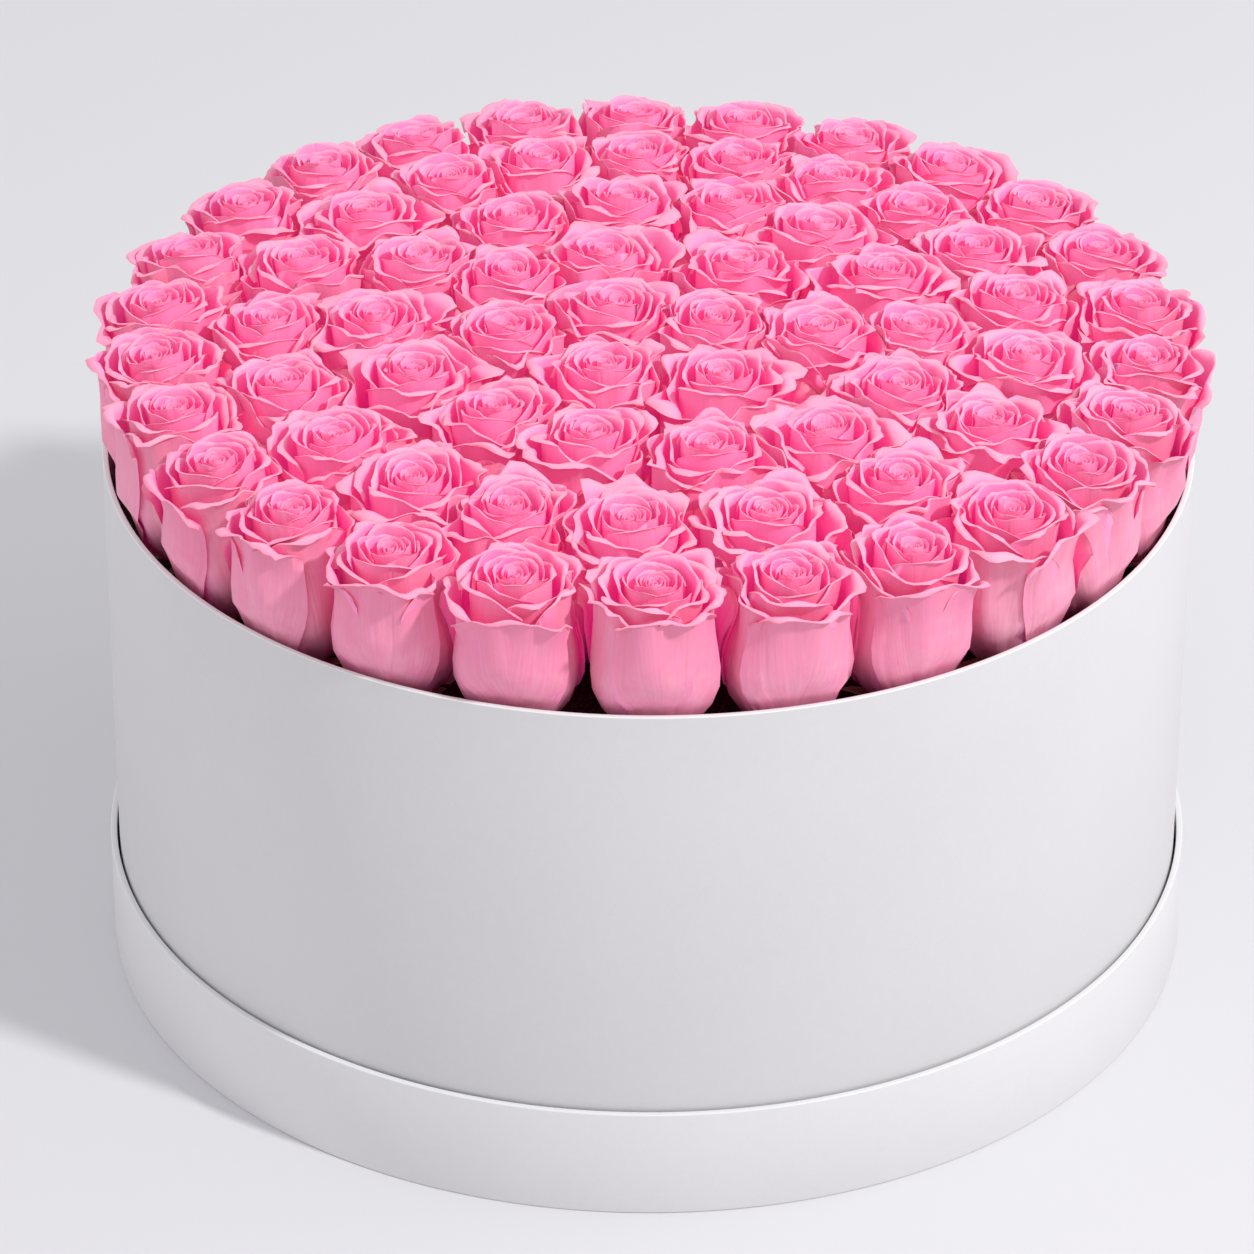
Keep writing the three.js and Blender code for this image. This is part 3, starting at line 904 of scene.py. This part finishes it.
# The painted glow: emitted light that stands for the light soaking through the petals and lifts their
# shade.
PETAL_PAINTED_GLOW = (1, 0.05, 0.7, 1)
NO_GLOW = (0, 0, 0, 1)
PAINTED_GLOW_STRENGTH = 0.08
LIT_BLOOM_SHARE = 0.4
EYE_SHARE = 0.5
RIM_HIGHLIGHT_SHARE = 0.75
VEIN_SHARE = 0.22
SHADED_OUTSIDE = 0.35
MOTTLE_SCALE = 150
CREASE_WIDTH = 0.1
PETAL_BUMP = 0.7
PETAL_VEIN_DEPTH = 0.3 * MM
PETAL_ROUGHNESS = 0.58
PETAL_GLOSS = 0.3


def rose_petal():
    """Preserved petals: velvety, with faint fanned veins and a few long soft creases. Their colour is
    painted paler towards the lip, with a painted highlight on the lip itself, and deeper pink low down,
    a painted shade between the petals. Outside they are duller and darker where they are bare and face
    out of the bouquet, partly their own duller tone and partly painted shade; where a neighbour covers
    them or further inside the bouquet they keep a deeper pink, a painted shade. Low on the outer cups
    lies a pale bloom, partly vein pattern and partly painted light, fading to painted shade under the
    lip. A weak painted glow of the walls, emitted light, stands for the light that soaks through thin
    petals."""
    finish, start = new_finish("rose_petal")
    across = start.named("across")
    up = start.named("up")
    depth = start.named("depth")
    tint = start.named("tint")
    # The outer skin's share is full where it faces out of the bouquet and falls to SHADED_OUTSIDE
    # further in, so the deeper pink there is a painted shade.
    outside = start.named("outside") * (SHADED_OUTSIDE + (1 - SHADED_OUTSIDE) * start.named("open_to_light"))
    place = start.node("ShaderNodeTexCoord", {}, {}, output="Object")

    seed = tint * 40 + depth * 9
    fanned = {"X": 22 * across.size() - 9 * up, "Y": 3 * across + 4 * up, "Z": seed}
    folded = {"X": across * 2, "Y": up * 0.8, "Z": seed + 7}
    veins = start.noise(1, 4, start.node("ShaderNodeCombineXYZ", {}, fanned))
    folds = start.noise(1, 1, start.node("ShaderNodeCombineXYZ", {}, folded))
    mottle = start.noise(MOTTLE_SCALE, 3, place)
    crease = 1 - (folds - 0.5).size().ease(0, CREASE_WIDTH)

    # pale: the colour is painted paler towards the lip and deeper hot pink low down, a painted shade
    # deep between the petals, broken by a random mottle.
    pale = up.ease(0.35, 1) * 0.5 + 0.3 * (mottle - 0.3)
    # The outer skin is painted duller and darker, partly the outer petals' own tone and partly painted
    # shade on the upright cups.
    dull_and_shade = outside * (1 - depth) * (0.8 + 0.3 * (mottle - 0.5))
    # bloom: a paler band low on the outer cups, in veins and mottle, partly pattern and partly painted
    # light, fading to painted shade under the lip.
    bloom = outside * (1 - up.ease(0.3, 0.7)) * (0.4 * veins + 0.6 * mottle).ease(0.25, 0.75)
    eye = (depth - 0.2 * up).ease(0.55, 1)
    # rim: a painted highlight, paler colour along the lips, weaker in the eye and on the outer skin.
    rim = up.ease(0.5, 1) * (RIM_HIGHLIGHT_SHARE - 0.25 * depth) * (1 - 0.7 * outside)
    skin = pale.blend(PETAL_HOT, PETAL_PALE)
    skin = dull_and_shade.blend(skin, PETAL_OUTER_DULL_AND_SHADE)
    skin = (LIT_BLOOM_SHARE * bloom).blend(skin, PETAL_LIT_BLOOM)
    skin = (EYE_SHARE * eye).blend(skin, PETAL_EYE)
    skin = rim.blend(skin, PETAL_RIM_HIGHLIGHT)
    skin = (VEIN_SHARE * veins.ease(0.45, 0.7)).blend(skin, PETAL_HOT)
    varied = {"Value": 0.97 + 0.03 * tint, "Saturation": 0.94 + 0.1 * tint, "Color": skin}

    # wall: where the painted glow shows, emitted light that stands for light through the petals, on the
    # inner walls and not the lips or the outer skin.
    wall = up.ease(0, 0.5) * (1 - 0.75 * up.ease(0.65, 1)) * (1 - 0.9 * outside)
    hills = 0.8 * veins + 0.4 * mottle - 0.9 * crease
    shader = surface(
        start,
        Base_Color=start.node("ShaderNodeHueSaturation", {}, varied),
        Roughness=PETAL_ROUGHNESS - 0.18 * outside + 0.15 * mottle,
        Normal=relief(start, PETAL_BUMP, PETAL_VEIN_DEPTH, hills),
        Specular_IOR_Level=PETAL_GLOSS,
        Emission_Color=wall.blend(NO_GLOW, PETAL_PAINTED_GLOW),
        Emission_Strength=PAINTED_GLOW_STRENGTH,
    )
    close(start, shader)
    return finish


petal_finish = rose_petal()
for rose in roses:
    number = rose["place"] + 1
    head = bpy.data.objects.new(f"rose_head_{rose['ring']}_{number:02d}", rose_mesh(rose))
    bpy.context.scene.collection.objects.link(head)
    head.data.materials.append(petal_finish)
    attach(head, "root")
    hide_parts(rose["node"])


# The table is a pale floor in a white room whose left wall is the brightest, under a soft lamp at the
# front right and a weak one at the right. The camera looks down on the box from where the photograph
# was taken.
FLOOR_HALF = 6
FLOOR_ROUGHNESS = 0.6
FLOOR_CLOUD_SCALE = 6
FLOOR_COLOUR = (0.664, 0.659, 0.675, 1)
ROOM_COLOUR = (0.965, 0.965, 1, 1)
ROOM_STRENGTH = 0.685
LEFT_WALL_STRENGTH = 0.57
LAMP_BEARING = -35.8 * DEGREE
LAMP_ELEVATION = 46.5 * DEGREE
LAMP_DISTANCE = 4
LAMP_SIZE = 0.32
LAMP_WATTS = 95
FILL_BEARING = 8 * DEGREE
FILL_ELEVATION = 38 * DEGREE
FILL_DISTANCE = 1.7
FILL_SIZE = 1
FILL_WATTS = 2.6
CAMERA_PLACE = (0, -2.2131, 1.4569)
CAMERA_DOWN = 0.53881
CAMERA_TURN = 0.00381
CAMERA_ROLL = 0.00277
CAMERA_LENS = 179.97
LIGHT_BOUNCES = 10

bpy.ops.object.select_all(action="DESELECT")
bpy.ops.mesh.primitive_plane_add(size=2 * FLOOR_HALF)
floor = bpy.context.object
floor.name = "floor"
floor_finish, floor_start = new_finish("pale_floor")
floor_place = floor_start.node("ShaderNodeTexCoord", {}, {}, output="Object")
floor_cloud = floor_start.noise(FLOOR_CLOUD_SCALE, 3, floor_place)
floor_roughness = FLOOR_ROUGHNESS + 0.05 * floor_cloud
close(floor_start, surface(floor_start, Base_Color=FLOOR_COLOUR, Roughness=floor_roughness))
floor.data.materials.append(floor_finish)

room = bpy.data.worlds.new("room")
room.use_nodes = True
room.node_tree.nodes.clear()
room_start = Wire(room.node_tree)
way = room_start.node("ShaderNodeTexCoord", {}, {}, output="Generated")
right = room_start.node("ShaderNodeSeparateXYZ", {}, {"Vector": way}, output="X")
left_wall = right.math("MAXIMUM", -1 * right, 0)
room_light = ROOM_STRENGTH + LEFT_WALL_STRENGTH * left_wall
background = room_start.node("ShaderNodeBackground", {}, {"Color": ROOM_COLOUR, "Strength": room_light})
room_start.node("ShaderNodeOutputWorld", {}, {"Surface": background})
room.cycles.sampling_method = "NONE"
bpy.context.scene.world = room


def soft_lamp(name, bearing, elevation, distance, size, watts):
    """A round lamp that faces the middle of the floor from a bearing and an elevation."""
    data = bpy.data.lights.new(name, "AREA")
    data.shape = "DISK"
    data.size = size
    data.energy = watts
    lamp = bpy.data.objects.new(name, data)
    bpy.context.scene.collection.objects.link(lamp)
    bearing_turn = Matrix.Rotation(bearing + math.pi / 2, 4, "Z")
    tilt = Matrix.Rotation(math.pi / 2 - elevation, 4, "X")
    lamp.matrix_world = bearing_turn @ tilt @ Matrix.Translation((0, 0, distance))


soft_lamp("soft_lamp", LAMP_BEARING, LAMP_ELEVATION, LAMP_DISTANCE, LAMP_SIZE, LAMP_WATTS)
soft_lamp("side_lamp", FILL_BEARING, FILL_ELEVATION, FILL_DISTANCE, FILL_SIZE, FILL_WATTS)

camera_data = bpy.data.cameras.new("camera")
camera_data.lens = CAMERA_LENS
camera = bpy.data.objects.new("camera", camera_data)
bpy.context.scene.collection.objects.link(camera)
camera.matrix_world = (
    Matrix.Translation(CAMERA_PLACE)
    @ Matrix.Rotation(CAMERA_TURN, 4, "Z")
    @ Matrix.Rotation(math.pi / 2 - CAMERA_DOWN, 4, "X")
    @ Matrix.Rotation(CAMERA_ROLL, 4, "Z")
)
bpy.context.scene.camera = camera
bpy.context.scene.view_settings.view_transform = "Standard"
bpy.context.scene.cycles.diffuse_bounces = LIGHT_BOUNCES
